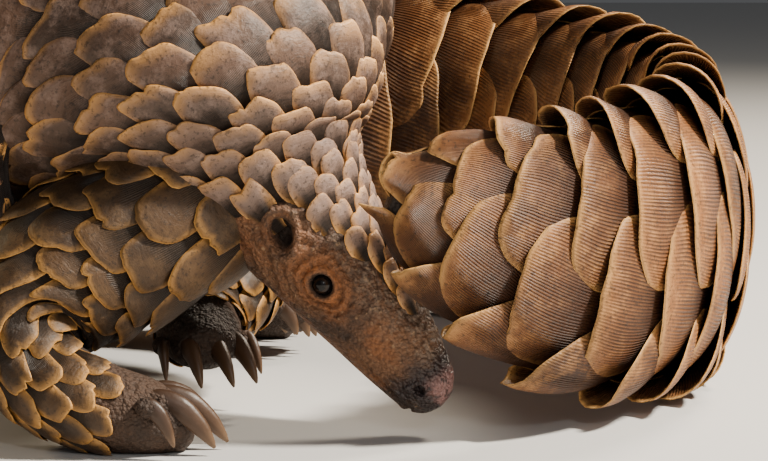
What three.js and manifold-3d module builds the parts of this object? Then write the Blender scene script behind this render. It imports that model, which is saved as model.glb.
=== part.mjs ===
// A ground pangolin, half unrolled from its ball, at life size. Millimetres, +Z up, the floor at z = 0.
// The head hangs nose down at the front, the trunk arches away to the left and lies down on its right
// side behind, and the tail sweeps round to the front again, standing on its right edge.
import * as THREE from 'three';
import { mergeVertices } from 'three/addons/utils/BufferGeometryUtils.js';
import Module from 'manifold-3d';

const wasm = await Module();
wasm.setup();

const GAP = 0.3; // left between neighbouring sub-parts
const FINEST = 0.02; // shorter edges than this are closed up
const DEGREES = Math.PI / 180;

// The spine from the nose to the tip of the tail. Each row is a place x, y, z, the compass bearing of
// the animal's right side and its roll towards the floor in degrees, then the half width and the
// heights of the back and of the belly over the spine.
const SPINE = [
  [16, -12, 12, -108, 4, 8, 10, 10],
  [4.8, -9.3, 25.9, -108, 4, 12.5, 15.5, 13.5],
  [-4.5, -7, 37.4, -108, 4, 17, 18.5, 15.5],
  [-14.7, -4.6, 50.1, -108, 4, 21.5, 22, 18],
  [-26.8, -1.7, 65.2, -106, 4, 26, 26, 20.5],
  [-38, 1.5, 82, -108, 10, 33, 33, 28],
  [-48, 9, 104, -122, 26, 54, 48, 44],
  [-64, 27, 120, -130, 42, 74, 64, 58],
  [-94, 55, 120, -140, 46, 83, 78, 66],
  [-130, 96, 115, -150, 46, 86, 80, 66],
  [-156, 144, 106, -165, 53, 87, 76, 65],
  [-163, 196, 96, -186, 62, 86, 71, 62],
  [-145, 246, 87, -216, 72, 83, 64, 56],
  [-103, 279, 80, -246, 82, 78, 55, 44],
  [-48, 289, 75, -266, 88, 71, 44, 31],
  [10, 274, 71, -284, 90, 65, 36, 24],
  [59, 237, 67, -312, 90, 60, 31, 20],
  [91, 182, 63, -340, 90, 57, 28, 17],
  [103, 123, 60, -355, 90, 53, 25, 15],
  [101, 68, 58, -378, 90, 50, 22, 13],
  [84, 24, 58, -405, 90, 46, 19, 11],
  [60, -6, 58.5, -430, 90, 42, 16, 9],
  [37, -21, 66, -440, 90, 34, 13, 7.5],
  [19, -28, 74, -446, 90, 25, 9, 6],
  [3, -32, 82, -449, 90, 12, 6, 5],
];
const OCCIPUT = 5; // rows of the spine that other sizes refer to
const NECK = 7;
const CHEST = 8.6;
const WAIST = 10.6;
const TAIL_ROOT = 13.2;
const TAIL_WIDE = 15.2;
const TAIL_SLIM = 19.3;
const TAIL_TIP = 23.9;

// Swellings of the shoulders and haunches on the trunk: row of the spine, bearing round the body from
// the middle of the back (right side positive), height, reach along in rows and reach around.
const BULGES = [
  { row: 6.9, phi: 115, high: 18, along: 0.9, around: 40 },
  { row: 7.9, phi: -122, high: 14, along: 0.9, around: 40 },
  { row: 12.4, phi: 118, high: 6, along: 0.9, around: 40 },
  { row: 12.4, phi: -112, high: 16, along: 0.9, around: 42 },
];

// Scales run down the body in columns, every other column half a scale behind. Each zone has its own
// columns, by bearing from the middle of the back. Bare columns are the soft skin of the belly.
const TRUNK = {
  from: 2.5,
  to: TAIL_ROOT,
  columns: [
    [-138, 'back'], [-115, 'back'], [-92, 'back'], [-69, 'back'], [-46, 'back'], [-23, 'back'], [0, 'back'],
    [23, 'back'], [46, 'back'], [69, 'back'], [92, 'back'], [115, 'back'], [138, 'back'],
    [180, 'bare'],
  ],
};
const TAIL_ZONES = [
  {
    from: TAIL_ROOT,
    to: TAIL_WIDE,
    columns: [
      [-84, 'edge'], [-54, 'back'], [-27, 'back'], [0, 'back'], [27, 'back'], [54, 'back'], [84, 'edge'],
      [130, 'under'], [180, 'under'], [230, 'under'],
    ],
  },
  {
    from: TAIL_WIDE,
    to: TAIL_SLIM,
    columns: [
      [-80, 'edge'], [-37, 'back'], [0, 'back'], [37, 'back'], [80, 'edge'],
      [132, 'under'], [180, 'under'], [228, 'under'],
    ],
  },
  {
    from: TAIL_SLIM,
    to: TAIL_TIP,
    columns: [[-78, 'edge'], [-24, 'back'], [24, 'back'], [78, 'edge'], [145, 'under'], [215, 'under']],
  },
];

// By row of the spine: how far apart the scales of a column stand, and how thick a free edge is.
const PITCH = [
  [2.5, 9], [OCCIPUT, 13], [6, 19], [NECK, 24], [CHEST, 28], [WAIST, 29], [15, 29], [20, 27], [24, 17],
];
const THICK = [[2.5, 1.8], [OCCIPUT, 2.6], [NECK, 3.8], [CHEST, 4.6], [WAIST, 4.8], [20, 4.4], [24, 3]];
const EDGE_REACH = [[22, 5.5], [24, 1.5]]; // how far the scales of the tail's edges stand out
const WIDE_COLUMN = 26; // degrees between columns, past which a scale is bent across its width
// Corners of a scale's free edge from left to right, and how far back from the tip and how far across
// its column, as shares of the scale's length and width, the shoulders and the ends of the tip stand.
const CORNERS = [-2, -1, 1, 2];
const SHOULDER = [0.24, 0.7];
const BLUNT = [0, 0.3];
// Crown scales cover only the top of the head, wider and wider towards the neck.
const CROWN = [[2.5, 30], [3, 48], [3.5, 60], [4, 70], [4.5, 86], [4.8, 112], [5.2, 140]];

// Sub-parts of the trunk and tail, by the rows of the spine where they begin and end.
const HEAD_END = 5.15;
const TRUNK_LENGTHS = [
  { name: 'neck', from: HEAD_END, to: 6.6 },
  { name: 'torso_front', from: 6.6, to: 8.7 },
  { name: 'torso_middle', from: 8.7, to: 10.8 },
  { name: 'torso_rear', from: 10.8, to: TAIL_ROOT },
];
const TAIL_LENGTHS = [
  { name: 'tail_base', zone: 0, from: TAIL_ROOT, to: TAIL_WIDE },
  { name: 'tail_middle', zone: 1, from: TAIL_WIDE, to: 17.3 },
  { name: 'tail_bend', zone: 1, from: 17.3, to: TAIL_SLIM },
  { name: 'tail_end', zone: 2, from: TAIL_SLIM, to: TAIL_TIP },
];

// Limbs, rows as in the spine from the shoulder or hip to the toes. Scales cover them down to the
// wrist or ankle, except in the bare columns of their inner side. Each foot has five claws, the
// middle three of them long, that leave it in a fan round one heading.
const LEG_COLUMNS = {
  fore: [0, 45, 90, 135, 180, 225, 270, 315],
  hind: [0, 60, 120, 180, 240, 300],
};
const LEG_PITCH = [[0, 23], [3, 16], [6, 12]];
const LEG_THICK = [[0, 3.2], [4, 2]];
const CUFF = 7; // from the last scales' tips to the wrist or ankle
const CUT_WIDTH = 1.28; // of the cut at a wrist or ankle, as a share of its half width
// The room kept free of limbs round the head and trunk: rows of the spine, the clearance over the skin,
// and how finely it is laid out along and round.
const ROOM = { from: 3, to: TAIL_ROOT + 1, lift: 6.8, step: 16, sides: 24 };
const LIMBS = [
  {
    leg: 'foreleg_right',
    end: 'fore',
    foot: 'forefoot_right',
    rows: [
      [-38, 16, 88, 90, 0, 28, 28, 28],
      [-70, -2, 68, 90, 0, 30, 28, 27],
      [-98, -12, 52, 90, 0, 29, 27, 27],
      [-112, -24, 36, 90, 0, 24, 21, 21],
      [-106, -33, 23, 90, 0, 18.5, 17, 16],
      [-91, -39, 15, 90, 0, 16, 14.5, 14],
      [-74, -39, 11, 90, 0, 15, 12, 12.5],
      [-62, -38, 9, 90, 0, 11, 8, 10],
    ],
    wrist: 4.8,
    bare: [0, 45, 90],
    claws: {
      at: [-68, -38, 16], heading: 0, spread: 8.4,
      lengths: [14, 22, 24, 22, 14], tip: 2.5, thick: 4.6,
    },
  },
  {
    leg: 'foreleg_left',
    end: 'fore',
    foot: 'forefoot_left',
    rows: [
      [-56, 104, 100, 0, 0, 30, 30, 30],
      [-50, 92, 72, 0, 0, 25, 24, 24],
      [-50, 75, 50, 0, 0, 21, 20, 20],
      [-56, 54, 37, 0, 0, 18, 17, 17],
      [-62, 40, 30, 0, 0, 15, 14, 14],
      [-61, 30, 26, 0, 0, 14, 12, 12],
      [-58, 20, 23, 0, 0, 10, 9, 8],
    ],
    wrist: 3.7,
    bare: [0, 270, 315],
    claws: {
      at: [-58, 24, 24], heading: -60, spread: 8.2,
      lengths: [13, 20, 22, 20, 13], tip: 12, thick: 4.4,
    },
  },
  {
    leg: 'hindleg_right',
    end: 'hind',
    foot: 'hindfoot_right',
    rows: [
      [-128, 222, 52, 45, 0, 36, 34, 34],
      [-108, 203, 40, 60, 0, 30, 30, 28],
      [-90, 188, 32, 80, 0, 26, 25, 24],
      [-76, 190, 26, 90, 0, 20, 19, 18],
      [-64, 198, 19, 90, 0, 16, 15, 15],
      [-50, 203, 13, 90, 0, 15, 12, 14],
      [-38, 203, 10.5, 90, 0, 12, 9, 11.5],
    ],
    wrist: 3.7,
    bare: [240, 300],
    claws: {
      at: [-42, 203, 14], heading: 0, spread: 7.2,
      lengths: [12, 14, 15, 14, 12], tip: 2, thick: 3.6,
    },
  },
  {
    leg: 'hindleg_left',
    end: 'hind',
    foot: 'hindfoot_left',
    rows: [
      [-116, 214, 120, 90, 0, 36, 34, 34],
      [-86, 198, 112, 90, 0, 31, 29, 29],
      [-60, 186, 96, 90, 0, 26, 25, 24],
      [-48, 176, 70, 90, 0, 20, 20, 19],
      [-46, 166, 46, 90, 0, 16, 16, 15],
      [-42, 160, 28, 90, 0, 15, 13, 13],
      [-30, 156, 16, 90, 0, 12, 10, 10],
    ],
    wrist: 3.9,
    bare: [180, 240],
    claws: {
      at: [-34, 157, 20], heading: -8, spread: 7.2,
      lengths: [12, 14, 15, 14, 12], tip: 4, thick: 3.6,
    },
  },
];
// Along a claw, as shares of its length, how thick it is as a share of its root's thickness.
const CLAW_SHAPE = [[-0.2, 0.95], [0.5, 0.85], [1, 0.12]];
const CLAW_FAN = 7; // degrees between neighbouring claws
const CLAW_ARCH = 0.16; // rise of a claw's curve as a share of its length

// Places on the head: along the spine's length from the nose, and by bearing from the crown.
const EYE = { s: 49, phi: 85, radius: 3.6, deep: 2.6, lid: 1.5 };
const EAR = { s: 77, phi: 90, radius: 4.4, rim: 1.5, deep: 5 };
const NOSTRIL = { s: 4.5, phi: 84, radius: 2.1, deep: 1.2 };
const MOUTH = { from: 2.5, to: 24, phi: 132, width: 0.9, deep: 3, lip: 1 };

const MATERIALS = {
  scale: new THREE.MeshStandardMaterial({ color: 0x8a6a4e, roughness: 0.55, metalness: 0 }),
  tail: new THREE.MeshStandardMaterial({ color: 0xb08560, roughness: 0.5, metalness: 0 }),
  skin: new THREE.MeshStandardMaterial({ color: 0x7a6252, roughness: 0.8, metalness: 0 }),
  claw: new THREE.MeshStandardMaterial({ color: 0x6b4a30, roughness: 0.45, metalness: 0 }),
  eye: new THREE.MeshStandardMaterial({ color: 0x15100c, roughness: 0.08, metalness: 0 }),
};

const vector = (x, y, z) => new THREE.Vector3(x, y, z);

// A steady draw between -1 and 1 for piece number i of family j, so that no two scales are alike.
function wobble(i, j) {
  const wave = Math.sin(i * 12.9898 + j * 78.233) * 43758.5453;
  return 2 * (wave - Math.floor(wave)) - 1;
}

// The value of a table of [place, value] rows at one place, straight between rows.
function ramp(table, place) {
  if (place <= table[0][0]) return table[0][1];
  for (let row = 1; row < table.length; row += 1) {
    const [p0, v0] = table[row - 1];
    const [p1, v1] = table[row];
    if (place <= p1) return v0 + ((v1 - v0) * (place - p0)) / (p1 - p0);
  }
  return table[table.length - 1][1];
}

// A bent body or limb: smooth rows through its stations, measured by length along its middle line.
class Tube {
  constructor(rows, bulges = []) {
    this.rows = rows;
    this.bulges = bulges;
    const steps = 12;
    this.rowTable = [[0, 0]];
    this.lengthTable = [[0, 0]];
    let total = 0;
    let before = this.row(0);
    for (let step = 1; step <= (rows.length - 1) * steps; step += 1) {
      const here = this.row(step / steps);
      total += Math.hypot(here[0] - before[0], here[1] - before[1], here[2] - before[2]);
      this.rowTable.push([total, step / steps]);
      this.lengthTable.push([step / steps, total]);
      before = here;
    }
    this.length = total;
    this.frames = new Map();
  }

  rowOf(s) {
    return ramp(this.rowTable, s);
  }

  placeOf(row) {
    return ramp(this.lengthTable, row);
  }

  row(t) {
    const last = this.rows.length - 1;
    const cell = Math.min(Math.floor(t), last - 1);
    const f = t - cell;
    const at = (k) => {
      if (k < 0) return this.rows[0].map((v, c) => 2 * v - this.rows[1][c]);
      if (k > last) return this.rows[last].map((v, c) => 2 * v - this.rows[last - 1][c]);
      return this.rows[k];
    };
    const [a, b, c, d] = [at(cell - 1), at(cell), at(cell + 1), at(cell + 2)];
    return b.map((v, k) => {
      const slope = c[k] - a[k];
      const bend = 2 * a[k] - 5 * v + 4 * c[k] - d[k];
      const twist = 3 * (v - c[k]) + d[k] - a[k];
      return v + 0.5 * f * (slope + f * (bend + f * twist));
    });
  }

  frame(s) {
    const key = s.toFixed(3);
    if (this.frames.has(key)) return this.frames.get(key);
    const inside = Math.min(Math.max(s, 0.01), this.length - 0.01);
    const here = this.row(this.rowOf(inside));
    const ahead = this.row(this.rowOf(Math.max(inside - 0.5, 0)));
    const behind = this.row(this.rowOf(Math.min(inside + 0.5, this.length)));
    const forward = vector(ahead[0] - behind[0], ahead[1] - behind[1], ahead[2] - behind[2]).normalize();
    const [x, y, z, side, roll, half, back, belly] = here;
    const level = Math.cos(roll * DEGREES);
    const right = vector(level * Math.cos(side * DEGREES), level * Math.sin(side * DEGREES),
      -Math.sin(roll * DEGREES));
    right.addScaledVector(forward, -right.dot(forward)).normalize();
    const up = right.clone().cross(forward);
    const centre = vector(x, y, z).addScaledVector(forward, inside - s);
    const frame = { centre, forward, right, up, half, back, belly };
    this.frames.set(key, frame);
    return frame;
  }

  // The point on the body at a place s along it and a bearing phi round it, lifted off its surface.
  surface(s, phi, lift = 0) {
    const { centre, right, up, half, back, belly } = this.frame(s);
    const angle = phi * DEGREES;
    const high = Math.cos(angle) >= 0 ? back : belly;
    let out = lift;
    for (const bulge of this.bulges) {
      const along = (this.rowOf(s) - bulge.row) / bulge.along;
      const turn = ((((phi - bulge.phi) % 360) + 540) % 360) - 180;
      out += bulge.high * Math.exp(-along * along - (turn / bulge.around) ** 2);
    }
    const normal = vector(Math.sin(angle) / half, Math.cos(angle) / high, 0).normalize();
    return centre.clone()
      .addScaledVector(right, half * Math.sin(angle) + out * normal.x)
      .addScaledVector(up, high * Math.cos(angle) + out * normal.y);
  }

  ring(s, sides, lift = 0) {
    return Array.from({ length: sides }, (_, k) => this.surface(s, (k * 360) / sides, lift));
  }
}

function solidOf(geometry) {
  const bare = geometry.clone();
  bare.deleteAttribute('normal');
  bare.deleteAttribute('uv');
  const merged = mergeVertices(bare, 1e-5);
  return new wasm.Manifold(new wasm.Mesh({
    numProp: 3,
    vertProperties: new Float32Array(merged.attributes.position.array),
    triVerts: new Uint32Array(merged.index.array),
  }));
}

// A closed surface from points and the triangles between them.
function facesOf(points, triangles) {
  const geometry = new THREE.BufferGeometry().setFromPoints(points);
  geometry.setIndex(triangles.flat());
  return geometry;
}

const join = (solids) => wasm.Manifold.union(solids);

// The largest closed surface of a solid, without loose scraps or sealed hollows.
function largest(solid) {
  const pieces = solid.decompose();
  return pieces.reduce((best, piece) => (piece.volume() > best.volume() ? piece : best));
}

// The part of a solid on the side of a plane that its normal points to.
function beyond(solid, point, normal) {
  return solid.trimByPlane(normal.toArray(), point.dot(normal));
}

// The plain skin of a tube up to one of its places, with its near end rounded off by a smaller ring.
function coreOf(tube, from, to, step, sides, lift, round) {
  const count = Math.round(Math.abs(to - from) / step);
  const rings = [];
  for (let k = 0; k <= count; k += 1) rings.push(tube.ring(from + ((to - from) * k) / count, sides, lift));
  const beyondEnd = from + Math.sign(from - to) * round;
  return loftOf([tube.ring(beyondEnd, sides, lift - round), ...rings]);
}

// Rings of equal count joined into a closed tapering tube, with a fan over each end.
function loftOf(rings) {
  const sides = rings[0].length;
  const triangles = [];
  for (let ring = 0; ring + 1 < rings.length; ring += 1) {
    for (let k = 0; k < sides; k += 1) {
      const a = ring * sides + k;
      const b = ring * sides + ((k + 1) % sides);
      triangles.push([a, b, b + sides], [a, b + sides, a + sides]);
    }
  }
  for (let k = 1; k + 1 < sides; k += 1) {
    const end = (rings.length - 1) * sides;
    triangles.push([0, k + 1, k], [end, end + k, end + k + 1]);
  }
  const solid = solidOf(facesOf(rings.flat(), triangles));
  return solid.volume() > 0 ? solid : loftOf([...rings].reverse());
}

// Where the free tips of the even columns stand along a tube, the last of them just at its end.
function tipPlaces(tube, from, to, pitchTable) {
  const places = [from];
  while (places.at(-1) < to) places.push(places.at(-1) + ramp(pitchTable, tube.rowOf(places.at(-1))));
  const stretch = (to - from) / (places.at(-1) - from);
  const even = places.map((place) => from + (place - from) * stretch);
  even.push(2 * even.at(-1) - even.at(-2));
  return even;
}

// The scaled surface of a tube as one closed solid. Every scale is a shield with its own raised free
// edge. Its upper corners lie under the scales above, and its tip over the one below.
function scaledSolid(tube, places, columns, from, to, heightOf) {
  const points = [];
  const triangles = [];
  const names = new Map();
  const count = columns.length;
  const wrap = (c) => (c + count) % count;
  const first = Math.max(0, places.findIndex((s) => s > from) - 2);
  const past = places.findIndex((s) => s > to);
  const last = past < 0 ? places.length - 2 : Math.min(past + 1, places.length - 2);

  const scale = (i, column) => {
    const c = wrap(column);
    const pitch = places[i + 1] - places[i];
    const s = places[i] + (c % 2 ? pitch / 2 : 0);
    const phi = columns[c][0];
    const left = ((phi - columns[wrap(c - 1)][0]) + 360) % 360;
    const right = ((columns[wrap(c + 1)][0] - phi) + 360) % 360;
    return { s, phi, left, right, pitch, ...heightOf(s, phi, columns[c][1], i, c) };
  };
  // corner: -1 and 1 the two ends of the blunt tip, -2 and 2 the shoulders, raised or under the edge
  const vertex = (i, column, corner, upper) => {
    const c = wrap(column);
    const own = scale(i, c);
    const raised = upper && own.high > 0;
    const key = `${i} ${c} ${corner} ${raised}`;
    if (names.has(key)) return names.get(key);
    const draw = wobble(i * 5 + corner, c);
    const width = corner < 0 ? -own.left : own.right;
    const shoulder = Math.abs(corner) > 1;
    const [back, out] = shoulder ? SHOULDER : BLUNT;
    let s = own.s - own.pitch * (back + 0.05 * draw);
    const phi = own.phi + width * (out + 0.03 * draw);
    let lift = raised ? own.high : own.under;
    if (shoulder) lift *= raised ? own.fullness : 1.1;
    if (own.high > 0 && !raised) s -= own.pitch * 0.03;
    names.set(key, points.length);
    points.push(tube.surface(s, phi, own.base + lift));
    return names.get(key);
  };
  const face = (...corners) => {
    for (let k = 1; k + 1 < corners.length; k += 1) {
      const triangle = [corners[0], corners[k], corners[k + 1]];
      if (new Set(triangle).size === 3) triangles.push(triangle);
    }
  };

  for (let i = first + 1; i <= last; i += 1) {
    for (let c = 0; c < count; c += 1) {
      const up = c % 2 ? i : i - 1;
      const own = scale(i, c);
      const under = CORNERS.map((corner) => vertex(i, c, corner, false));
      const rim = CORNERS.map((corner) => vertex(i, c, corner, true));
      const ends = [vertex(up, c - 1, 1, false), vertex(up, c + 1, -1, false)];
      const leftSide = [vertex(i - 1, c, -1, false), vertex(up, c - 1, 2, false), ends[0], rim[0], rim[1]];
      const rightSide = [rim[2], rim[3], ends[1], vertex(up, c + 1, -2, false), vertex(i - 1, c, 1, false)];
      const crest = own.base + (own.high + own.under) * 0.56;
      const middleAt = (phi) => points.push(tube.surface(own.s - own.pitch * 0.45, phi, crest)) - 1;
      if (Math.max(own.left, own.right) > WIDE_COLUMN) {
        const left = middleAt(own.phi - own.left * 0.42);
        const right = middleAt(own.phi + own.right * 0.42);
        face(left, ...leftSide, rightSide[0], right);
        face(right, ...rightSide, leftSide[0], left);
      } else {
        face(middleAt(own.phi), ...leftSide, ...rightSide, leftSide[0]);
      }
      face(rim[0], ends[0], under[0]);
      face(ends[1], rim[3], under[3]);
      for (let k = 0; k < 3; k += 1) face(rim[k + 1], rim[k], under[k], under[k + 1]);
    }
  }
  for (const [i, hand] of [[first, 1], [last, -1]]) {
    const s = places[i] + (hand > 0 ? 0 : Math.min(places[i + 1] - places[i], 3));
    const middle = points.push(tube.frame(s).centre) - 1;
    const loop = columns.flatMap((_, c) => {
      const corners = c % 2 ? CORNERS : [-1, 1];
      return corners.map((corner) => vertex(i, c, corner, false));
    });
    loop.forEach((corner, k) => {
      const next = loop[(k + 1) % loop.length];
      if (hand > 0) face(middle, corner, next);
      else face(middle, next, corner);
    });
  }
  return solidOf(facesOf(points, triangles));
}

const body = new Tube(SPINE, BULGES);

// How high a scale stands over the body and how full its corners are, by its kind of column.
function bodyHeight(s, phi, kind, i, c) {
  const row = body.rowOf(s);
  const thick = ramp(THICK, row) * (1 + 0.1 * wobble(i, c));
  const { belly } = body.frame(s);
  const bare = { high: 0, under: 0, fullness: 0 };
  if (kind === 'bare' && row > OCCIPUT) return { ...bare, base: 0 };
  if (kind === 'bare') return { ...bare, base: phi === 180 ? -belly * 0.5 : -belly * 0.12 };
  if (row < OCCIPUT + 1 && Math.abs(phi) > ramp(CROWN, row)) return { ...bare, base: -4 };
  if (kind === 'edge') return { high: thick + ramp(EDGE_REACH, row), under: thick * 0.7, fullness: 0.72, base: 0 };
  const high = kind === 'under' ? thick * 0.6 : thick;
  return { high, under: high * 0.42, fullness: 0.93, base: 0 };
}

const limbTubes = LIMBS.map(({ rows }) => new Tube(rows));

const trunkTips = tipPlaces(body, body.placeOf(TRUNK.from), body.placeOf(TRUNK.to + 1.4), PITCH);
const tailTips = TAIL_ZONES.map(({ from, to }) => tipPlaces(body, body.placeOf(from - 1),
  to < TAIL_TIP ? body.placeOf(to + 1.2) : body.length - 2, PITCH));

// The room of the head and trunk, scales and all, that the limbs keep out of.
const trunkRoom = coreOf(
  body, body.placeOf(ROOM.from), body.placeOf(ROOM.to), ROOM.step, ROOM.sides, ROOM.lift, 0,
);

// A length of the trunk.
function trunkSolid(fromRow, toRow) {
  const scaled = scaledSolid(body, trunkTips, TRUNK.columns, body.placeOf(fromRow), body.placeOf(toRow),
    bodyHeight);
  return betweenRows(scaled, fromRow, toRow);
}

// The part of a solid between the planes across the spine at two of its rows.
function betweenRows(solid, fromRow, toRow) {
  let piece = solid;
  if (fromRow > 0) {
    const { centre, forward } = body.frame(body.placeOf(fromRow));
    piece = beyond(piece, centre.clone().addScaledVector(forward, -GAP / 2), forward.clone().negate());
  }
  if (toRow < TAIL_TIP) {
    const { centre, forward } = body.frame(body.placeOf(toRow));
    piece = beyond(piece, centre.clone().addScaledVector(forward, GAP / 2), forward);
  }
  return piece;
}

// A whole limb with its foot, scaled down to the wrist or ankle.
function limbSolid(limb, tube) {
  const wrist = tube.placeOf(limb.wrist);
  const columns = LEG_COLUMNS[limb.end].map((phi) => [phi, limb.bare.includes(phi) ? 'bare' : 'back']);
  const heightOf = (s, phi, kind, i, c) => {
    const high = ramp(LEG_THICK, tube.rowOf(s)) * (1 + 0.1 * wobble(i, c));
    return kind === 'bare' ? { high: 0, under: 0, fullness: 0, base: 0 }
      : { high, under: high * 0.42, fullness: 0.93, base: 0 };
  };
  const tips = tipPlaces(tube, 0, wrist - CUFF, LEG_PITCH);
  const scaled = scaledSolid(tube, tips, columns, tips[1], tube.length, heightOf);
  return join([scaled, footSolid(tube, wrist, 0)]);
}

// The bare end of a limb with its rounded toes, thicker all round by grow.
function footSolid(tube, wrist, grow) {
  const toes = tube.length;
  return coreOf(tube, toes + grow, wrist - 2 * CUFF, 12, 8, grow - 0.4, 4);
}

// The two parts of a limb on either side of a thin round cut across its tube, the larger one first.
function cutAcross(solid, tube, row) {
  const { centre, forward, half } = tube.frame(tube.placeOf(row));
  const disc = new THREE.CylinderGeometry(half * CUT_WIDTH, half * CUT_WIDTH, GAP, 12);
  disc.applyQuaternion(new THREE.Quaternion().setFromUnitVectors(vector(0, 1, 0), forward));
  disc.translate(...centre);
  const parts = solid.subtract(solidOf(disc)).decompose();
  return parts.sort((a, b) => b.volume() - a.volume());
}

// The claws of a foot as a fan of curved, tapering spikes.
function clawSolids({ at, heading, spread, lengths, tip, thick }) {
  return lengths.map((length, k) => {
    const off = k - (lengths.length - 1) / 2;
    const turn = (heading - off * CLAW_FAN) * DEGREES;
    const ahead = vector(Math.cos(turn), Math.sin(turn), 0);
    const side = vector(Math.sin(heading * DEGREES), -Math.cos(heading * DEGREES), 0);
    const root = vector(...at).addScaledVector(side, off * spread).addScaledVector(ahead, -off * off * 0.7);
    const fall = at[2] - tip;
    const flat = Math.sqrt(Math.max(length * length - fall * fall, length * length * 0.3));
    const lower = Math.min(fall, length * 0.85);
    const along = (t) => root.clone().addScaledVector(ahead, flat * t)
      .add(vector(0, 0, -lower * t + length * CLAW_ARCH * 4 * t * (1 - t)));
    const size = thick * (length < 0.7 * Math.max(...lengths) ? 0.66 : 1);
    return loftOf(CLAW_SHAPE.map(([t, share]) => {
      const slope = along(t + 0.05).sub(along(t - 0.05)).normalize();
      const across = slope.clone().cross(vector(0, 0, 1)).normalize();
      const above = across.clone().cross(slope);
      const radius = size * share;
      return Array.from({ length: 5 }, (_, corner) => along(t)
        .addScaledVector(across, -radius * 0.7 * Math.cos((corner * Math.PI * 2) / 5))
        .addScaledVector(above, radius * Math.sin((corner * Math.PI * 2) / 5)));
    }));
  });
}

// A round body at a point of the head: ball of one radius, squashed along the skin's outward normal.
function ballAt(place, phi, lift, radius, squash = 1, sides = 10) {
  const ball = new THREE.SphereGeometry(radius, sides, Math.floor(sides / 2));
  ball.scale(1, 1, squash);
  return solidOf(placedOnHead(ball, place, phi, lift));
}

// A ring lying on the head's skin.
function ringAt(place, phi, lift, radius, thick) {
  return solidOf(placedOnHead(new THREE.TorusGeometry(radius, thick, 4, 8), place, phi, lift));
}

// Moves a shape made about the origin onto the skin, its z axis along the outward normal.
function placedOnHead(geometry, place, phi, lift) {
  const outward = body.surface(place, phi, 1).sub(body.surface(place, phi, 0)).normalize();
  const { forward } = body.frame(place);
  const x = forward.clone().addScaledVector(outward, -forward.dot(outward)).normalize();
  const y = outward.clone().cross(x);
  const at = body.surface(place, phi, lift);
  return geometry.applyMatrix4(new THREE.Matrix4().makeBasis(x, y, outward).setPosition(at));
}

// The mouth line of one side: a thin blade through the skin, or with a radius the lip beside it.
function mouthPiece(hand, shift, radius) {
  const stations = [0, 0.5, 1];
  const rings = stations.map((share) => {
    const s = MOUTH.from + (MOUTH.to - MOUTH.from) * share;
    const phi = hand * (MOUTH.phi + shift - 10 * share);
    const out = body.surface(s, phi, 1).sub(body.surface(s, phi, 0)).normalize();
    const over = body.frame(s).forward.clone().cross(out);
    const at = body.surface(s, phi, -0.5);
    if (radius) {
      const taper = radius * (share === 0 || share === 1 ? 0.4 : 1);
      return [[1, 0], [0, 1], [-1, 0], [0, -1]].map(([deep, across]) => at.clone()
        .addScaledVector(out, taper * deep)
        .addScaledVector(over, taper * across));
    }
    return [[1, 2], [-1, 2], [-1, -MOUTH.deep], [1, -MOUTH.deep]].map(([across, deep]) => at.clone()
      .addScaledVector(over, (-across * MOUTH.width) / 2)
      .addScaledVector(out, deep));
  });
  return loftOf(rings);
}

function headSolid() {
  const hands = [-1, 1];
  const end = body.placeOf(HEAD_END);
  const skin = [coreOf(body, 0, end + 20, 14, 14, -0.5, 3.5)];
  skin.push(scaledSolid(body, trunkTips, TRUNK.columns, 0, end, bodyHeight));
  const cuts = [];
  for (const hand of hands) {
    skin.push(ringAt(EYE.s, hand * EYE.phi, 0.2, EYE.radius + 0.9, EYE.lid));
    skin.push(ringAt(EAR.s, hand * EAR.phi, 0.3, EAR.radius, EAR.rim));
    skin.push(mouthPiece(hand, -11, MOUTH.lip), mouthPiece(hand, 11, MOUTH.lip));
    cuts.push(ballAt(EYE.s, hand * EYE.phi, -EYE.deep, EYE.radius + GAP));
    cuts.push(ballAt(EAR.s, hand * EAR.phi, 0, EAR.radius - EAR.rim / 2, EAR.deep / EAR.radius));
    cuts.push(ballAt(NOSTRIL.s, hand * NOSTRIL.phi, 0, NOSTRIL.radius, NOSTRIL.deep, 8));
    cuts.push(mouthPiece(hand, 0));
  }
  return betweenRows(join(skin), 0, HEAD_END).subtract(join(cuts));
}

const nodes = [];

function addNode(name, solid, material) {
  const whole = largest(solid.trimByPlane([0, 0, 1], 0));
  nodes.push({ name, solid: largest(whole.simplify(FINEST)), material });
}

const limbs = LIMBS.map((limb, k) => {
  const outside = limbSolid(limb, limbTubes[k]).subtract(trunkRoom);
  const [leg, foot] = cutAcross(outside, limbTubes[k], limb.wrist);
  const grown = footSolid(limbTubes[k], limbTubes[k].placeOf(limb.wrist), GAP);
  return { ...limb, leg: { name: limb.leg, solid: leg }, foot: { name: limb.foot, solid: foot, grown } };
});

addNode('head', headSolid(), MATERIALS.skin);
for (const { name, from, to } of TRUNK_LENGTHS) {
  addNode(name, trunkSolid(from, to), MATERIALS.scale);
}
for (const { name, zone, from, to } of TAIL_LENGTHS) {
  const solid = scaledSolid(body, tailTips[zone], TAIL_ZONES[zone].columns,
    body.placeOf(from), body.placeOf(to), bodyHeight);
  addNode(name, betweenRows(solid, from, to), MATERIALS.tail);
}
for (const [side, hand] of [['right', 1], ['left', -1]]) {
  addNode(`eye_${side}`, ballAt(EYE.s, hand * EYE.phi, -EYE.deep, EYE.radius), MATERIALS.eye);
}
for (const { leg, foot, claws } of limbs) {
  addNode(leg.name, leg.solid, MATERIALS.scale);
  addNode(foot.name, foot.solid, MATERIALS.skin);
  clawSolids(claws).forEach((claw, n) => {
    addNode(`${foot.name}_claw_${n + 1}`, claw.subtract(foot.grown), MATERIALS.claw);
  });
}

// The origin lies on the floor under the middle of the whole model.
const bounds = new THREE.Box3();
for (const { solid } of nodes) {
  const { min, max } = solid.boundingBox();
  bounds.union(new THREE.Box3(vector(...min), vector(...max)));
}
const middle = bounds.getCenter(vector(0, 0, 0));

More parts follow.
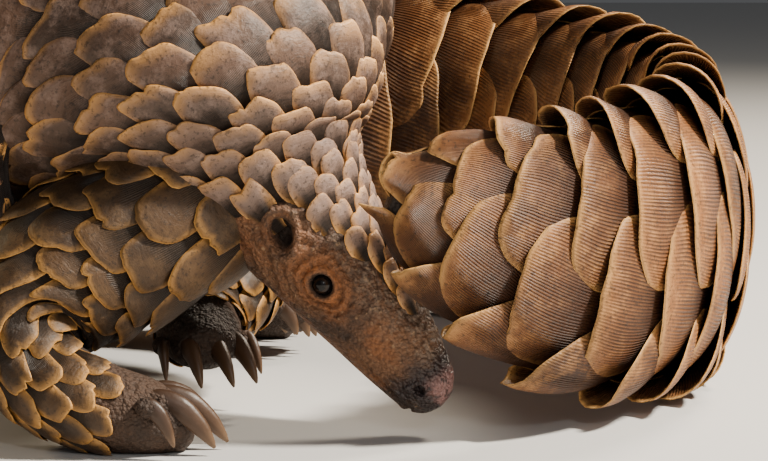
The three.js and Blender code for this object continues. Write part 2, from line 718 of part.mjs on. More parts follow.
const group = new THREE.Group();
for (const { name, solid, material } of nodes) {
  const { vertProperties, triVerts, numProp } = solid.getMesh();
  const positions = new Float32Array((vertProperties.length / numProp) * 3);
  for (let v = 0; v < positions.length / 3; v += 1) {
    for (let axis = 0; axis < 3; axis += 1) positions[3 * v + axis] = vertProperties[numProp * v + axis];
  }
  const geometry = new THREE.BufferGeometry();
  geometry.setAttribute('position', new THREE.BufferAttribute(positions, 3));
  geometry.setIndex(new THREE.BufferAttribute(new Uint32Array(triVerts), 1));
  geometry.translate(-middle.x, -middle.y, -bounds.min.z);
  const mesh = new THREE.Mesh(geometry, material.clone());
  mesh.name = name;
  group.add(mesh);
}

export default group;
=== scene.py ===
import math

import bpy
import numpy as np
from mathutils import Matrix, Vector


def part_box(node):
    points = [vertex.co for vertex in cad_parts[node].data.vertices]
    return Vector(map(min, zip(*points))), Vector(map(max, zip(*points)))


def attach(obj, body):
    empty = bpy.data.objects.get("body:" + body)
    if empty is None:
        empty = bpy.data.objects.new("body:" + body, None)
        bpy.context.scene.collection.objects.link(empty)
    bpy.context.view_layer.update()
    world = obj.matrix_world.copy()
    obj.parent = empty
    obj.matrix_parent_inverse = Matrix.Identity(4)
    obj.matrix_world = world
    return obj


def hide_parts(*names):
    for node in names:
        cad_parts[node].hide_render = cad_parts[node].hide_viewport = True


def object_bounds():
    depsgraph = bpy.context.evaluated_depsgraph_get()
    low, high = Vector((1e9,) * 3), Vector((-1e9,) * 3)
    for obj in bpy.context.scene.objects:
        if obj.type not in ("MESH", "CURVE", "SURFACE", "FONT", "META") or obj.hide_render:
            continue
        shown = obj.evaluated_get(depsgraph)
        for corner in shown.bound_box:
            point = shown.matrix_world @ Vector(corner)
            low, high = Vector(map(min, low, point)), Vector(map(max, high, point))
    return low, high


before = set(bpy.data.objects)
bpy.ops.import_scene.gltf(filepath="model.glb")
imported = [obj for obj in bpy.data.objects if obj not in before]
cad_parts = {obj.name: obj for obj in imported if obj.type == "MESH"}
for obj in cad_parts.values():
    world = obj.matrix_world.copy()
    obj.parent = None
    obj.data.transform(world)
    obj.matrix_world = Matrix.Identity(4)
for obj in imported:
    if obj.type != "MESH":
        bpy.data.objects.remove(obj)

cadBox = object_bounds()
for item in bpy.context.selected_objects:
    item.select_set(False)

# The animal is in millimetres, in a frame of its own, until toWorld moves it.
# A spine row is x, y, z, the bearing of the animal's right side, its roll to the floor,
# the half width, and how far the back and the belly stand off the spine.
body = {
    "rows": [
        (16, -12, 12, -108, 4, 8, 10, 10), (4.8, -9.3, 25.9, -108, 4, 12.5, 15.5, 13.5),
        (-4.5, -7, 37.4, -108, 4, 17, 18.5, 15.5), (-14.7, -4.6, 50.1, -108, 4, 21.5, 22, 18),
        (-26.8, -1.7, 65.2, -106, 4, 26, 26, 20.5), (-38, 1.5, 82, -108, 10, 33, 33, 28),
        (-48, 9, 104, -122, 26, 54, 48, 44), (-64, 27, 120, -130, 42, 74, 64, 58),
        (-94, 55, 120, -140, 46, 83, 78, 66), (-130, 96, 115, -150, 46, 86, 80, 66),
        (-156, 144, 106, -165, 53, 87, 76, 65), (-163, 196, 96, -186, 62, 86, 71, 62),
        (-145, 246, 87, -216, 72, 83, 64, 56), (-103, 279, 80, -246, 82, 78, 55, 44),
        (-48, 289, 75, -266, 88, 71, 44, 31), (10, 274, 71, -284, 90, 65, 36, 24),
        (59, 237, 67, -312, 90, 60, 31, 20), (91, 182, 63, -340, 90, 57, 28, 17),
        (103, 123, 60, -355, 90, 53, 25, 15), (101, 68, 58, -378, 90, 50, 22, 13),
        (84, 24, 58, -405, 90, 46, 19, 11), (60, -6, 58.5, -430, 90, 42, 16, 9),
        (37, -21, 66, -440, 90, 34, 13, 7.5), (19, -28, 74, -446, 90, 25, 9, 6),
        (3, -32, 82, -449, 90, 12, 6, 5),
    ],
    # shoulders and hips: row, bearing, height, and reach along and around
    "bulges": [
        (6.9, 115, 18, 0.9, 40), (7.9, -122, 14, 0.9, 40), (12.4, 118, 6, 0.9, 40),
        (12.4, -112, 16, 0.9, 42),
    ],
    # row, and the bearing down to which scales cover the head there
    "crown": [
        (1.6, 30), (2, 38), (3.3, 38), (3.7, 46), (3.95, 53),
        (4.35, 60), (4.6, 68), (4.95, 87), (5.2, 110), (5.45, 142),
    ],
    "eye": {"place": 49, "bearing": 85, "deep": 2.6, "radius": 3.6},
    "ear": {"place": 69, "bearing": 83},
    "nostril": {"place": 4.5, "bearing": 84},
}


# A smooth tube through its rows, measured along its middle line, for many points at a time.
# A frame of it is 15 numbers: centre, right, up, half width, height of back and belly, forward.
class Tube:
    stepsPerRow = 12
    spacing = 0.5  # between stored frames, in millimetres
    margin = 30  # stored past either end
    inset = 0.01

    def __init__(self, rows, bulges=()):
        self.rows = np.array(rows, float)
        self.bulges = bulges
        steps = np.arange((len(rows) - 1) * self.stepsPerRow + 1) / self.stepsPerRow
        joints = np.linalg.norm(np.diff(self.rowData(steps)[:, :3], axis=0), axis=1)
        self.stepRows = steps
        self.stepPlaces = np.concatenate([[0], np.cumsum(joints)])
        self.length = self.stepPlaces[-1]
        self.grid = np.arange(-self.margin, self.length + self.margin, self.spacing)
        self.frames = self.frameData(self.grid)

    # The rows' numbers at fractions of a row, on a curve that runs through every row.
    def rowData(self, t):
        last = len(self.rows) - 1
        cell = np.minimum(np.floor(t).astype(int), last - 1)
        f = (t - cell)[:, None]
        before, after = 2 * self.rows[0] - self.rows[1], 2 * self.rows[-1] - self.rows[-2]
        padded = np.vstack([before, self.rows, after])
        a, b, c, d = (padded[cell + k] for k in range(4))
        return b + 0.5 * f * (c - a + f * (2 * a - 5 * b + 4 * c - d + f * (3 * (b - c) + d - a)))

    def rowAt(self, place):
        return np.interp(place, self.stepPlaces, self.stepRows)

    def placeAt(self, row):
        return np.interp(row, self.stepRows, self.stepPlaces)

    def frameData(self, place):
        inside = np.clip(place, self.inset, self.length - self.inset)
        here = self.rowData(self.rowAt(inside))
        ahead = self.rowData(self.rowAt(np.maximum(inside - self.spacing, 0)))[:, :3]
        behind = self.rowData(self.rowAt(np.minimum(inside + self.spacing, self.length)))[:, :3]
        forward = unit(ahead - behind)
        side, roll = np.radians(here[:, 3]), np.radians(here[:, 4])
        level = np.cos(roll)
        right = np.stack([level * np.cos(side), level * np.sin(side), -np.sin(roll)], axis=1)
        right = unit(right - forward * (right * forward).sum(1, keepdims=True))
        up = np.cross(right, forward)
        centre = here[:, :3] + forward * (inside - place)[:, None]
        return np.hstack([centre, right, up, here[:, 5:8], forward])

    def frameAt(self, place):
        at = (np.asarray(place, float) - self.grid[0]) / self.spacing
        at = np.clip(at, 0, len(self.grid) - 1.001)
        low = np.floor(at).astype(int)
        f = (at - low)[..., None]
        return self.frames[low] * (1 - f) + self.frames[low + 1] * f

    # Points at places along the tube and bearings round it, lifted off it.
    def surface(self, place, bearing, lift=0.0):
        place, bearing, lift = np.broadcast_arrays(np.asarray(place, float), bearing, lift)
        data = self.frameAt(place)
        angle = np.radians(bearing)
        sine, cosine = np.sin(angle), np.cos(angle)
        half = data[..., 9]
        high = np.where(cosine >= 0, data[..., 10], data[..., 11])
        out = lift.astype(float).copy()
        for row, middle, height, along, around in self.bulges:
            shift = (self.rowAt(place) - row) / along
            turn = halfTurn(bearing - middle)
            out += height * np.exp(-shift ** 2 - (turn / around) ** 2)
        nx, ny = sine / half, cosine / high
        size = np.hypot(nx, ny)
        x = half * sine + out * nx / size
        y = high * cosine + out * ny / size
        return data[..., :3] + data[..., 3:6] * x[..., None] + data[..., 6:9] * y[..., None]


def unit(v):
    return v / np.maximum(np.linalg.norm(v, axis=-1, keepdims=True), 1e-9)


# An angle as -180 to 180 degrees.
def halfTurn(angle):
    return (angle % 360 + 540) % 360 - 180


def smooth(low, high, value):
    t = np.clip((value - low) / (high - low), 0, 1)
    return t * t * (3 - 2 * t)


# One from full to fade, nought before start and after end, and soft between.
def between(value, start, full, fade, end):
    return smooth(start, full, value) * smooth(end, fade, value)


def bell(value, middle, width):
    return np.exp(-((value - middle) / width) ** 2)


def ramp(table, value):
    return np.interp(value, *zip(*table))


millimetre = 0.001
hands = {"right": 1, "left": -1}
spine = Tube(body["rows"], body["bulges"])
eyeSpot = body["eye"]
eyeCentres = {
    side: spine.surface(eyeSpot["place"], hand * eyeSpot["bearing"], -eyeSpot["deep"])
    for side, hand in hands.items()
}
cadEyes = [np.array(sum(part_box(f"eye_{side}"), Vector()) / 2) for side in hands]
worldShift = np.mean(cadEyes, axis=0) - np.mean(list(eyeCentres.values()), axis=0) * millimetre


def toWorld(points):
    return np.asarray(points) * millimetre + worldShift


print("frame loaded, model shift", worldShift.round(4))

# The camera: its target and distance are in the animal's millimetres.
view = {
    "target": (0, 0, 64), "distance": 850, "elevation": 6, "lens": 124.5, "sensor": 36,
}
elevation = math.radians(view["elevation"])
cameraData = bpy.data.cameras.new("photoCamera")
camera = bpy.data.objects.new("photoCamera", cameraData)
bpy.context.collection.objects.link(camera)
sight = np.array((0, -math.cos(elevation), math.sin(elevation)))
camera.location = toWorld(np.array(view["target"]) + sight * view["distance"])
camera.rotation_euler = (math.pi / 2 - elevation, 0, 0)
cameraData.lens = view["lens"]
cameraData.sensor_width = view["sensor"]
bpy.context.scene.camera = camera

# The studio, in metres and watts.
studio = {
    "floor": {"size": 14, "colour": (0.62, 0.61, 0.59), "roughness": 0.85},
    "sky": {"colour": (0.86, 0.88, 0.92), "strength": 0.095},
    # name: place, aim, size, watts, colour
    "lights": {
        "keyLight": ((0.87, -0.30, 1.0), (0, -0.05, 0.08), 0.14, 45, (1.0, 0.92, 0.80)),
        "rimLight": ((0.9, 1.15, 1.3), (0, 0, 0.1), 0.4, 36, (1.0, 0.88, 0.72)),
        "fillLight": ((0.3, -2.1, 0.9), (0, 0, 0.08), 2.2, 7, (0.97, 0.97, 1.0)),
        "edgeLight": ((-1.5, 0.6, 0.95), (-0.05, 0, 0.1), 0.3, 8, (1.0, 0.78, 0.48)),
        "catchLight": ((0.35, -1.44, 0.77), (0.03, -0.16, 0.06), 0.12, 3, (1.0, 0.98, 0.95)),
    },
}
bpy.ops.mesh.primitive_plane_add(size=studio["floor"]["size"], location=(0, 0, 0))
floor = bpy.context.object
floor.name = "studioFloor"
floor.select_set(False)

world = bpy.data.worlds.new("studioSky")
bpy.context.scene.world = world
world.use_nodes = True
sky = world.node_tree.nodes["Background"]
sky.inputs["Color"].default_value = (*studio["sky"]["colour"], 1)
sky.inputs["Strength"].default_value = studio["sky"]["strength"]
for name, (place, aim, size, watts, colour) in studio["lights"].items():
    lamp = bpy.data.lights.new(name, "AREA")
    lamp.size = size
    lamp.energy = watts
    lamp.color = colour
    holder = bpy.data.objects.new(name, lamp)
    bpy.context.collection.objects.link(holder)
    holder.location = place
    holder.rotation_euler = (Vector(aim) - Vector(place)).to_track_quat("-Z", "Y").to_euler()
print("camera, floor and lights set")


# One value in a material's node tree, so that sums of values are written as sums.
class Flow:
    def __init__(self, finish, socket):
        self.finish = finish
        self.socket = socket

    def math(self, operation, *others):
        values = dict(enumerate((self, *others)))
        return self.finish.node("ShaderNodeMath", {"operation": operation}, values)

    def __add__(self, other):
        return self.math("ADD", other)

    def __sub__(self, other):
        return self.math("SUBTRACT", other)

    def __rsub__(self, other):
        return self.finish.node("ShaderNodeMath", {"operation": "SUBTRACT"}, {0: other, 1: self})

    def __mul__(self, other):
        return self.math("MULTIPLY", other)

    __radd__ = __add__
    __rmul__ = __mul__

    def clamp(self, low=0.0, high=1.0):
        return self.math("MAXIMUM", low).math("MINIMUM", high)

    # Rises softly from 0 at the low value to 1 at the high one.
    def step(self, low, high):
        ends = {"Value": self, "From Min": low, "From Max": high}
        return self.finish.node("ShaderNodeMapRange", {"interpolation_type": "SMOOTHSTEP"}, ends)


# A material and its node tree.
class Finish:
    def __init__(self, name):
        self.material = bpy.data.materials.new(name)
        self.material.use_nodes = True
        self.tree = self.material.node_tree
        self.surface = self.tree.nodes["Principled BSDF"]

    # Gives a socket its value or its link.
    def feed(self, socket, value):
        if isinstance(value, Flow):
            self.tree.links.new(value.socket, socket)
        else:
            socket.default_value = value

    # Adds a node with its settings, and feeds its sockets.
    def node(self, kind, settings=None, sockets=None, output=0):
        node = self.tree.nodes.new(kind)
        for key, value in (settings or {}).items():
            setattr(node, key, value)
        for key, value in (sockets or {}).items():
            self.feed(node.inputs[key], value)
        return Flow(self, node.outputs[output])

    # A Mix node's colours are its sockets 6 and 7, and its mixed colour is output 2.
    def mixColour(self, first, second, factor):
        sockets = {0: factor, 6: asColour(first), 7: asColour(second)}
        return self.node("ShaderNodeMix", {"data_type": "RGBA"}, sockets, 2)

    # A colour under layers, each a colour and how much of it shows.
    def layered(self, colour, *layers):
        for tone, share in layers:
            colour = self.mixColour(colour, tone, share)
        return colour

    def noise(self, place, scale, detail, roughness=0.5, kind="3D", output=0):
        sockets = {"Vector": place, "Scale": scale, "Detail": detail, "Roughness": roughness}
        return self.node("ShaderNodeTexNoise", {"noise_dimensions": kind}, sockets, output)

    def cells(self, place, scale):
        return self.node("ShaderNodeTexVoronoi", {}, {"Vector": place, "Scale": scale})

    def vectorMath(self, operation, *values):
        return self.node("ShaderNodeVectorMath", {"operation": operation}, dict(enumerate(values)))

    def spot(self):
        return self.node("ShaderNodeTexCoord", output="Object")

    def attribute(self, name):
        return self.node("ShaderNodeAttribute", {"attribute_name": name}, output="Fac")

    def joined(self, x, y, z):
        return self.node("ShaderNodeCombineXYZ", sockets={0: x, 1: y, 2: z})

    def bump(self, height, distance, strength):
        sockets = {"Strength": strength, "Distance": distance, "Height": height}
        return self.node("ShaderNodeBump", sockets=sockets)

    # Sets the surface's own sockets, each to a value or to a link.
    def set(self, **sockets):
        for key, value in sockets.items():
            self.feed(self.surface.inputs[key.replace("_", " ")], asColour(value))
        return self.material


def asColour(value):
    return (*value, 1) if isinstance(value, tuple) else value


paleFloor = Finish("paleFloor")
floorLook = studio["floor"]
floor.data.materials.append(paleFloor.set(Base_Color=floorLook["colour"], Roughness=floorLook["roughness"]))


# The faces of a grid of points, closed round its rings where asked.
def gridFaces(rows, columns, start, wrap):
    r = np.arange(rows - 1)[:, None]
    c = np.arange(columns if wrap else columns - 1)[None, :]
    right = (c + 1) % columns
    a, b = r * columns + c, r * columns + right
    d, e = (r + 1) * columns + c, (r + 1) * columns + right
    return start + np.stack([a, b, e, d], axis=-1).reshape(-1, 4)


# Points and faces of closed shells, each a grid of rings with a point at either end.
def closedShells(grids):
    points, faces, start = [], [], 0
    for grid in grids:
        rows, columns = grid.shape[:2]
        points += [grid.reshape(-1, 3), grid[0].mean(0)[None], grid[-1].mean(0)[None]]
        faces.append(gridFaces(rows, columns, start, True))
        for k, ring in enumerate((0, rows - 1)):
            around = start + ring * columns + np.arange(columns)
            middle = np.full(columns, start + rows * columns + k)
            faces.append(np.stack([around, np.roll(around, -1), middle, middle], axis=1))
        start += rows * columns + 2
    return np.concatenate(points), np.concatenate(faces)


# Metres that points are kept inside the CAD's box, and the height below which they lie on the floor.
meshing = {"inset": 5e-5, "onFloor": 1e-4}


# A new mesh object from world points and faces of four corners, or three where two are alike.
def meshPiece(name, points, faces, material):
    mesh = bpy.data.meshes.new(name)
    low, high = (np.array(corner) for corner in cadBox)
    points = np.clip(points, low + meshing["inset"], high - meshing["inset"])
    points[:, 2] = np.where(points[:, 2] < meshing["onFloor"], 0, points[:, 2])
    corners = [tuple(dict.fromkeys(face)) for face in faces.tolist()]
    mesh.from_pydata(points.tolist(), [], corners)
    mesh.validate(clean_customdata=False)
    mesh.shade_smooth()
    piece = bpy.data.objects.new(name, mesh)
    bpy.context.collection.objects.link(piece)
    mesh.materials.append(material)
    return piece


def addAttribute(piece, name, values):
    layer = piece.data.attributes.new(name, "FLOAT", "POINT")
    layer.data.foreach_set("value", np.asarray(values, np.float32))


def addUv(piece, name, perPoint):
    layer = piece.data.uv_layers.new(name=name)
    corners = np.zeros(len(piece.data.loops), np.int32)
    piece.data.loops.foreach_get("vertex_index", corners)
    layer.data.foreach_set("uv", np.asarray(perPoint, np.float32)[corners].ravel())


# Limbs: rows as in the spine, the row of the wrist or heel, the bearings bare of scales, and claws.
limbs = {
    "foreRight": {
        "nodes": ("foreleg_right", "forefoot_right"), "wrist": 4.8, "bare": (-10, 100),
        "rows": [
            (-38, 16, 88, 90, 0, 28, 28, 28), (-70, -2, 68, 90, 0, 30, 28, 27),
            (-98, -12, 52, 90, 0, 29, 27, 27), (-112, -24, 36, 90, 0, 24, 21, 21),
            (-106, -33, 23, 90, 0, 18.5, 17, 16), (-91, -39, 15, 90, 0, 16, 14.5, 14),
            (-74, -39, 11, 90, 0, 15, 12, 12.5), (-62, -38, 9, 90, 0, 11, 8, 10),
        ],
        "claws": {"at": (-68, -38, 16), "heading": 0, "spread": 8.4, "tip": 2.5,
                  "thick": 4.6, "lengths": (14, 22, 24, 22, 14)},
    },
    "foreLeft": {
        "nodes": ("foreleg_left", "forefoot_left"), "wrist": 3.7, "bare": (250, 370),
        "rows": [
            (-56, 104, 100, 0, 0, 30, 30, 30), (-50, 92, 72, 0, 0, 25, 24, 24),
            (-50, 75, 50, 0, 0, 21, 20, 20), (-56, 54, 37, 0, 0, 18, 17, 17),
            (-62, 40, 30, 0, 0, 15, 14, 14), (-61, 30, 26, 0, 0, 14, 12, 12),
            (-58, 20, 23, 0, 0, 10, 9, 8),
        ],
        "claws": {"at": (-58, 24, 24), "heading": -60, "spread": 8.2, "tip": 12,
                  "thick": 4.4, "lengths": (13, 20, 22, 20, 13)},
    },
    "hindRight": {
        "nodes": ("hindleg_right", "hindfoot_right"), "wrist": 3.7, "bare": (230, 310),
        "rows": [
            (-128, 222, 52, 45, 0, 36, 34, 34), (-108, 203, 40, 60, 0, 30, 30, 28),
            (-90, 188, 32, 80, 0, 26, 25, 24), (-76, 190, 26, 90, 0, 20, 19, 18),
            (-64, 198, 19, 90, 0, 16, 15, 15), (-50, 203, 13, 90, 0, 15, 12, 14),
            (-38, 203, 10.5, 90, 0, 12, 9, 11.5),
        ],
        "claws": {"at": (-42, 203, 14), "heading": 0, "spread": 7.2, "tip": 2,
                  "thick": 3.6, "lengths": (12, 14, 15, 14, 12)},
    },
    "hindLeft": {
        "nodes": ("hindleg_left", "hindfoot_left"), "wrist": 3.9, "bare": (170, 250),
        "rows": [
            (-116, 214, 120, 90, 0, 36, 34, 34), (-86, 198, 112, 90, 0, 31, 29, 29),
            (-60, 186, 96, 90, 0, 26, 25, 24), (-48, 176, 70, 90, 0, 20, 20, 19),
            (-46, 166, 46, 90, 0, 16, 16, 15), (-42, 160, 28, 90, 0, 15, 13, 13),
            (-30, 156, 16, 90, 0, 12, 10, 10),
        ],
        "claws": {"at": (-34, 157, 20), "heading": -8, "spread": 7.2, "tip": 4,
                  "thick": 3.6, "lengths": (12, 14, 15, 14, 12)},
    },
}
for limb in limbs.values():
    limb["tube"] = Tube(limb["rows"])


# The skin: one mesh of the head, trunk and tail, with the limbs and toes sunk into it.
skin = {
    "sides": 200,
    "faceStep": 0.65,  # between rings of the face, which grow further apart behind it
    "faceEnd": 92, "stepGrowth": 1.12, "bodyStep": 6.5, "noseRound": 3.5, "noseStart": 4.5,
    "thick": [(1.7, 1.3), (4.5, 2.6), (7, 4.2), (10.6, 4.8), (20, 4.4), (24, 3)],  # of the scales over it
    "face": -0.4, "bodyFrom": 5.2, "girdle": 132, "limbSides": 56, "limbStep": 2.2,
    "limbEnd": (0, 1.5, 3, 4),
}
face = {
    "eye": {"along": 1.06, "around": 0.96, "rim": 3.6, "floor": 2.5, "deep": 5.5, "brow": 2.4},
    # radius, width and height of the lids and the folds round them, and what the brow adds
    "lids": [
        (4.6, 1.05, 1.35, 0.75), (6.4, 0.6, -0.95, 0), (7.9, 0.95, 0.8, 0.6), (9.6, 0.6, -0.6, 0),
        (11.1, 1.0, 0.35, 0.5), (12.8, 0.8, -0.3, 0),
    ],
    "ear": {"along": 1.25, "lean": 0.35, "rim": 4.4, "floor": 2.0, "deep": 7.0},
    "nostril": {"curve": 0.25, "tall": 0.62, "rim": 2.2, "floor": 1.1, "deep": 3.2},
    "mouth": {"bearing": 132, "rise": 10, "from": 2.5, "length": 21.5, "deep": 1.5, "wide": 0.5},
}


# How far points lie from a feature of the head, along it and round it.
def headDistance(place, bearing, spot, hand):
    turn = halfTurn(bearing - hand * spot["bearing"])
    girth = spine.frameAt(np.full(1, spot["place"]))[0, 9]
    return place - spot["place"], np.radians(turn) * girth * hand


# The lids and folds round an eye: their lift, their tint, and the painted shade of the hollow inside them.
def eyeRelief(place, bearing, hand):
    form = face["eye"]
    along, around = headDistance(place, bearing, eyeSpot, hand)
    turn = np.arctan2(around, along)
    far = np.hypot(along / form["along"], around / form["around"])
    far = far + (0.4 * np.sin(turn * 3 + 1) + 0.25 * np.sin(turn * 5 + 2.6)) * smooth(3.2, 8, far)
    brow = 0.5 + 0.5 * np.cos(turn - form["brow"])
    lift = -form["deep"] * smooth(form["rim"], form["floor"], far)
    lift += 0.4 * np.sin(turn * 21 + 1.5 * far) * bell(far, 8.4, 3.2)
    for radius, width, height, more in face["lids"]:
        lift += (height + more * brow) * bell(far, radius, width)
    return lift, bell(far, 5.3, 1.4) + 0.6 * bell(far, 8.2, 1.2), smooth(4.3, 3.5, far)


# An ear's pit with its raised rim, and the painted shade of the hollow inside it.
def earRelief(place, bearing, hand):
    form = face["ear"]
    along, around = headDistance(place, bearing, body["ear"], hand)
    far = np.hypot(along / form["along"], around + form["lean"] * along)
    lift = 1.4 * bell(far, 5.8, 1.2) - form["deep"] * smooth(form["rim"], form["floor"], far)
    lift += 1.3 * bell(far, 6.2, 1.6) * smooth(0, -4, along) + 0.6 * bell(far, 9.6, 1.1)
    lift += 0.3 * np.sin(np.arctan2(around, along) * 13) * bell(far, 8.5, 2.5)
    return lift, smooth(4.8, 3.0, far)


def nostrilRelief(place, bearing, hand):
    form = face["nostril"]
    along, around = headDistance(place, bearing, body["nostril"], hand)
    far = np.hypot(along, (around - form["curve"] * along ** 2) / form["tall"])
    return 0.7 * bell(far, 3.0, 0.7) - form["deep"] * smooth(form["rim"], form["floor"], far)


def mouthRelief(place, bearing, hand):
    form = face["mouth"]
    back = np.clip((place - form["from"]) / form["length"], 0, 1)
    off = halfTurn(bearing - hand * (form["bearing"] - form["rise"] * back))
    gap = np.radians(off) * spine.frameAt(place)[..., 9]
    lips = 0.45 * bell(np.abs(gap), 1.7, 0.8) - form["deep"] * bell(gap, 0, form["wide"])
    return lips * between(place, 1.0, 3.5, 22, 27)


# Knobs above the eye, folds of the cheek and throat, wrinkles along the snout, and the nose's lip.
def wrinkles(place, turn):
    knobs = between(place, 50, 56, 70, 80) * between(turn, 42, 52, 80, 92)
    cheek = between(place, 52, 62, 84, 98) * between(turn, 100, 122, 170, 188)
    bridge = between(place, 8, 16, 34, 46) * smooth(95, 70, turn)
    lip = smooth(122, 132, turn)
    return (
        knobs * 0.7 * np.sin(place * 1.15 + 1) * np.sin(turn * 0.42 + np.sin(place * 0.4) * 1.5)
        + cheek * 0.75 * np.sin((place * 0.7 + turn * 0.35) / 1.55 + np.sin(place / 5))
        + bridge * 0.16 * np.sin(place * 1.9 + np.sin(turn / 12) * 2)
        + lip * (0.3 * bell(place, 3.6, 0.8) - 1.3 * bell(place, 2.0, 0.6))
    )


# How far the skin stands off the tube at each place, and how much it is tinted there.
def skinRelief(place, bearing):
    row = spine.rowAt(np.maximum(place, 0))
    turn = np.abs(halfTurn(bearing))
    scaled = smooth(-2, 6, ramp(body["crown"], row + 0.3) - turn) * smooth(1.75, 2.1, row)
    scaled = np.where(row > skin["bodyFrom"], smooth(-8, 6, skin["girdle"] - turn), scaled)
    underScales = -0.4 - 0.55 * ramp(skin["thick"], row)
    belly = smooth(skin["bodyFrom"], 7, row) * smooth(128, 150, turn)
    lift = skin["face"] + (underScales - skin["face"]) * scaled
    lift += belly * (0.9 * np.sin(place / 2.6 + 0.6 * np.sin(bearing / 9)) - 0.8)
    lift += wrinkles(place, turn)
    eyeTint = np.zeros_like(lift)
    for hand in hands.values():
        eyeLift, tint, eyeHollowShade = eyeRelief(place, bearing, hand)
        earLift, earHollowShade = earRelief(place, bearing, hand)
        lift += eyeLift + earLift
        lift += nostrilRelief(place, bearing, hand) + mouthRelief(place, bearing, hand)
        eyeTint = np.maximum(eyeTint, tint)
        # painted shade: the hollows of the eyes and ears are darkened like the skin under the scales
        scaled = np.maximum(scaled, np.maximum(eyeHollowShade, earHollowShade))
    onHead = smooth(6.5, 5.5, row)
    cheeks = onHead * smooth(35, 90, turn)
    return lift, {
        "eyeTint": eyeTint,
        "noseTint": smooth(15, 7, place) * smooth(150, 115, turn),
        "padTint": smooth(7, 1.5, place) * smooth(88, 62, turn),
        "scaled": scaled,
        "headTint": cheeks,
        "bridgeTint": onHead - cheeks,
    }


def skinRings():
    step = skin["faceStep"]
    rings = [*np.arange(-skin["noseRound"], skin["faceEnd"], step), skin["faceEnd"]]
    while rings[-1] < spine.length - 4:
        step = min(step * skin["stepGrowth"], skin["bodyStep"])
        rings.append(rings[-1] + step)
    return np.array(rings)


# Places and bearings of a grid of points, with so many to a ring.
def ringGrid(places, sides):
    return np.meshgrid(places, np.arange(sides) * 360 / sides, indexing="ij")


def buildSkin(material):
    rings = skinRings()
    place, bearing = ringGrid(rings, skin["sides"])
    lift, tints = skinRelief(place, bearing)
    centre = spine.frameAt(rings)[:, None, :3]
    # the nose is rounded off over its first millimetres
    start, reach = skin["noseStart"], skin["noseStart"] + skin["noseRound"] + 0.02
    nose = np.sqrt(np.clip(1 - ((start - rings) / reach) ** 2, 0.0004, 1))
    nose = np.where(rings < start, nose, 1)[:, None, None]
    shells = [(centre + (spine.surface(place, bearing, lift) - centre) * nose, tints)]
    for limb in limbs.values():
        shells += [limbShell(limb), *toeShells(limb)]
    points, faces = closedShells([grid for grid, _ in shells])
    piece = meshPiece("skin", toWorld(points), faces, material)
    for key in tints:
        values = []
        for grid, found in shells:
            layer = np.broadcast_to(found.get(key, 0.0), grid.shape[:2])
            values += [layer.ravel(), (0, 0)]
        addAttribute(piece, key, np.concatenate(values))
    fixNormals(piece)
    return piece


# A leg down to its toes as one closed shell, with folds round its wrist or heel.
def limbShell(limb):
    tube = limb["tube"]
    places = [np.arange(0, tube.length, skin["limbStep"]), tube.length + np.array(skin["limbEnd"])]
    place, bearing = ringGrid(np.concatenate(places), skin["limbSides"])
    wrist = tube.placeAt(limb["wrist"])
    folds = between(place, wrist - 14, wrist - 2, wrist + 4, wrist + 16)
    lift = -1.3 + 0.35 * folds * np.sin(place * 1.3) + smooth(wrist - 4, wrist + 6, place)
    lift -= 0.25 * np.maximum(place - tube.length, 0) ** 2
    # the scaled tint is painted shade on the leg's skin under its scales
    return tube.surface(place, bearing, lift), {"scaled": smooth(wrist, wrist - 6, place)}


# How a foot's claws are set: a fan in degrees, and shares of a claw's length.
clawSet = {
    "fan": 7,
    "setBack": 0.7,  # of the outer claws, in millimetres
    "leastReach": 0.3, "mostFall": 0.85, "arch": 0.64,
    "shortUnder": 0.7,  # of the longest claw's length
    "shortSize": 0.66,
}


# Claw curves: each runs from its root along its reach, and falls to its tip in an arch.
def clawPaths(claws):
    lengths = claws["lengths"]
    heading = math.radians(claws["heading"])
    side = np.array((math.sin(heading), -math.cos(heading), 0))
    fall = claws["at"][2] - claws["tip"]
    paths = []
    for k, length in enumerate(lengths):
        off = k - (len(lengths) - 1) / 2
        turn = math.radians(claws["heading"] - off * clawSet["fan"])
        ahead = np.array((math.cos(turn), math.sin(turn), 0))
        root = np.array(claws["at"], float) + side * off * claws["spread"]
        short = length < clawSet["shortUnder"] * max(lengths)
        paths.append({
            "root": root - ahead * off * off * clawSet["setBack"],
            "reach": ahead * math.sqrt(max(length ** 2 - fall ** 2, clawSet["leastReach"] * length ** 2)),
            "fall": min(fall, clawSet["mostFall"] * length),
            "length": length,
            "size": claws["thick"] * (clawSet["shortSize"] if short else 1),
        })
    return paths


def clawPoint(path, t):
    t = np.asarray(t, float)[..., None]
    height = path["length"] * clawSet["arch"] * t * (1 - t) - path["fall"] * t
    return path["root"] + path["reach"] * t + np.array((0, 0, 1)) * height


# A ring of points round each of a row of centres, in an oval across the way they run.
def ringsAlong(centres, wide, tall, sides):
    way = unit(np.gradient(centres, axis=0))
    across = unit(np.cross(way, (0, 0, 1)))
    above = np.cross(across, way)
    angle = np.arange(sides) * 2 * math.pi / sides
    sideways = (wide[:, None] * np.cos(angle))[..., None]
    upwards = (tall[:, None] * np.sin(angle))[..., None]
    return centres[:, None] + across[:, None] * sideways + above[:, None] * upwards


# Toes lie over the root of each claw; wide, tall and low are shares of its size.
toe = {"from": -0.55, "to": 0.3, "rings": 14, "sides": 22, "wide": 0.98, "tall": 1.06, "low": 0.15}


def toeShells(limb):
    t = np.linspace(0, 1, toe["rings"])
    girth = np.sqrt(np.clip(1 - (2 * t - 1) ** 2, 0.002, 1)) ** 0.8 * (1 + 0.05 * np.sin(t * 26))
    shells = []
    for path in clawPaths(limb["claws"]):
        size = path["size"] * girth
        centres = clawPoint(path, toe["from"] + (toe["to"] - toe["from"]) * t)
        centres = centres - np.array((0, 0, path["size"] * toe["low"]))
        shells.append((ringsAlong(centres, size * toe["wide"], size * toe["tall"], toe["sides"]), {}))
    return shells


